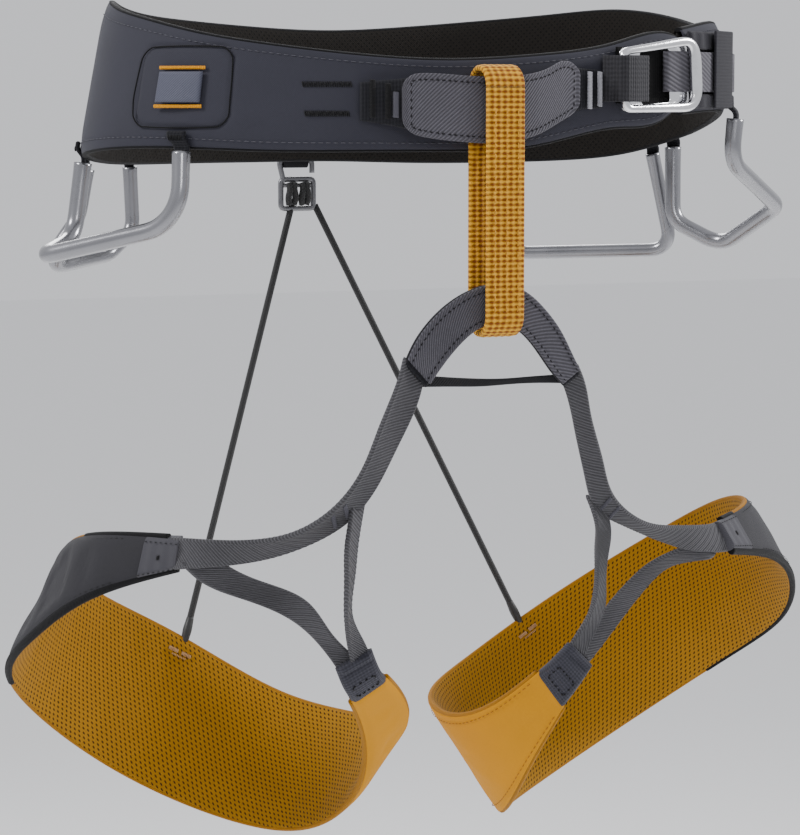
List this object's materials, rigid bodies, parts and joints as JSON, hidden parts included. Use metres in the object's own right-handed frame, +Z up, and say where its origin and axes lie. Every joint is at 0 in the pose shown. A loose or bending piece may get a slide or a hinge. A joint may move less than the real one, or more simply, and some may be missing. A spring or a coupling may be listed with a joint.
{
  "type": "climbing harness",
  "caption": "Adjustable climbing harness with padded waist belt, buckle, sewn belay loop, padded leg loops, elastic risers and stiff gear loops.",
  "frame": {"origin": "centre of the waist opening at half the belt's height", "axes": "+Z up along the waist opening, +X to the wearer's left, -Y to the wearer's front"},
  "size_m": [0.386, 0.2498, 0.3787],
  "materials": {
    "belt_fabric": "woven nylon, dark slate grey",
    "belt_mesh": "diamond-knit mesh, brownish black",
    "foam": "closed-cell foam",
    "load_webbing": "flat nylon webbing",
    "tie_in_webbing": "golden yellow nylon webbing",
    "wear_cover": "diagonal twill wear cover, near black",
    "belay_webbing": "golden yellow nylon webbing, sewn",
    "thin_webbing": "narrow black webbing",
    "strap_webbing": "dark grey nylon webbing, twill face",
    "guide_webbing": "sewn guide strips",
    "keeper_elastic": "flat black elastic",
    "leg_fabric": "woven nylon, dark grey",
    "thigh_fabric": "smooth mustard yellow nylon",
    "leg_lining": "mustard yellow lining with rows of small slits",
    "arm_webbing": "grey nylon webbing",
    "anchor_webbing": "narrow dark webbing",
    "tube_plastic": "semi-clear silver-grey tube",
    "tube_core": "stiff core",
    "elastic_cord": "braided round elastic",
    "sleeve_rubber": "heat-shrunk sleeve",
    "hook_plastic": "moulded black",
    "aluminium": "polished forged aluminium",
    "orange_thread": "bar tack thread, orange",
    "grey_thread": "bar tack thread, silver grey"
  },
  "bodies": {
    "waist": {"adjust_strap": "strap_webbing", "buckle_anchor_webbing": "strap_webbing", "buckle_base": "aluminium", "cross_strap": "thin_webbing", "front_left_gear_anchors": "anchor_webbing", "front_right_gear_anchors": "anchor_webbing", "left_clip_slot_tacks": "orange_thread", "left_clip_slot_webbing": "thin_webbing", "leg_bridge": "tie_in_webbing", "leg_bridge_cover": "wear_cover", "rear_left_gear_anchors": "anchor_webbing", "rear_right_gear_anchors": "anchor_webbing", "right_clip_slot_tacks": "orange_thread", "right_clip_slot_webbing": "thin_webbing", "riser_hook": "hook_plastic", "riser_tab": "thin_webbing", "riser_wraps": "elastic_cord", "strap_guide": "guide_webbing", "tie_in_bar_tacks": "grey_thread", "tie_in_loop": "tie_in_webbing", "tie_in_wear_cover": "wear_cover", "waist_foam": "foam", "waist_lining": "belt_mesh", "waist_load_webbing": "load_webbing", "waist_shell": "belt_fabric"},
    "right_leg": {"right_leg_shell": "leg_fabric", "right_leg_thigh_fabric": "thigh_fabric", "right_leg_foam": "foam", "right_leg_lining": "leg_lining", "right_outer_arm": "arm_webbing", "right_inner_arm": "arm_webbing", "right_cross_arm": "arm_webbing", "right_arm_tab": "arm_webbing", "right_riser_sleeve": "sleeve_rubber", "right_riser_cord": "elastic_cord", "right_riser_stitches": "orange_thread"},
    "left_leg": {"left_leg_shell": "leg_fabric", "left_leg_thigh_fabric": "thigh_fabric", "left_leg_foam": "foam", "left_leg_lining": "leg_lining", "left_outer_arm": "arm_webbing", "left_inner_arm": "arm_webbing", "left_cross_arm": "arm_webbing", "left_arm_tab": "arm_webbing", "left_riser_sleeve": "sleeve_rubber", "left_riser_cord": "elastic_cord", "left_riser_stitches": "orange_thread"},
    "belay_loop": {"belay_loop": "belay_webbing"},
    "front_right_gear_loop": {"front_right_gear_tube": "tube_plastic", "front_right_gear_cord": "tube_core"},
    "front_left_gear_loop": {"front_left_gear_tube": "tube_plastic", "front_left_gear_cord": "tube_core"},
    "rear_right_gear_loop": {"rear_right_gear_tube": "tube_plastic", "rear_right_gear_cord": "tube_core"},
    "rear_left_gear_loop": {"rear_left_gear_tube": "tube_plastic", "rear_left_gear_cord": "tube_core"},
    "buckle_frame": {"buckle_frame": "aluminium"},
    "strap_keeper": {"strap_keeper": "keeper_elastic"},
    "haul_loop": {"haul_loop": "thin_webbing"}
  },
  "joints": [
    {"name": "right_leg_swing", "type": "hinge", "parent": "waist", "child": "right_leg", "pos_m": [-0.026, -0.121, -0.116], "axis": [-1, 0, 0], "range_deg": [-12, 22], "stiffness_Nm_per_rad": 0.8, "springref_deg": -3.22, "deforming": ["right_riser_cord"]},
    {"name": "left_leg_swing", "type": "hinge", "parent": "waist", "child": "left_leg", "pos_m": [-0.026, -0.121, -0.116], "axis": [-1, 0, 0], "range_deg": [-12, 22], "stiffness_Nm_per_rad": 0.8, "springref_deg": -3.9, "deforming": ["left_riser_cord"]},
    {"name": "belay_loop_swing", "type": "hinge", "parent": "waist", "child": "belay_loop", "pos_m": [-0.026, -0.1213, -0.062], "axis": [1, 0, 0], "range_deg": [-1.5, 1.1], "stiffness_Nm_per_rad": 0.02},
    {"name": "front_right_gear_loop_flex", "type": "hinge", "parent": "waist", "child": "front_right_gear_loop", "pos_m": [-0.14575, -0.01125, -0.025], "axis": [-0.1727, 0.9824, -0.0714], "range_deg": [-5, 28], "stiffness_Nm_per_rad": 0.12},
    {"name": "front_left_gear_loop_flex", "type": "hinge", "parent": "waist", "child": "front_left_gear_loop", "pos_m": [0.138, -0.0105, -0.016], "axis": [-0.2001, -0.9673, 0.1557], "range_deg": [-5, 28], "stiffness_Nm_per_rad": 0.12},
    {"name": "rear_right_gear_loop_flex", "type": "hinge", "parent": "waist", "child": "rear_right_gear_loop", "pos_m": [-0.13, 0.061, -0.031], "axis": [0.6668, 0.7452, 0], "range_deg": [-5, 28], "stiffness_Nm_per_rad": 0.12},
    {"name": "rear_left_gear_loop_flex", "type": "hinge", "parent": "waist", "child": "rear_left_gear_loop", "pos_m": [0.1155, 0.0715, -0.029], "axis": [0.7309, -0.6778, 0.0797], "range_deg": [-5, 28], "stiffness_Nm_per_rad": 0.12},
    {"name": "buckle_tilt", "type": "hinge", "parent": "waist", "child": "buckle_frame", "pos_m": [0.03758, -0.11424, 0.00785], "axis": [0.0672, 0.0205, -0.9975], "range_deg": [0, 30]},
    {"name": "strap_keeper_slide", "type": "hinge", "parent": "waist", "child": "strap_keeper", "pos_m": [0.00483, 0.04634, 0.013], "axis": [0, 0, 1], "range_deg": [-4, 1.5]},
    {"name": "haul_loop_flip", "type": "hinge", "parent": "waist", "child": "haul_loop", "pos_m": [-0.017, 0.1109, 0.0152], "axis": [1, 0, 0], "range_deg": [0, 80]}
  ]
}
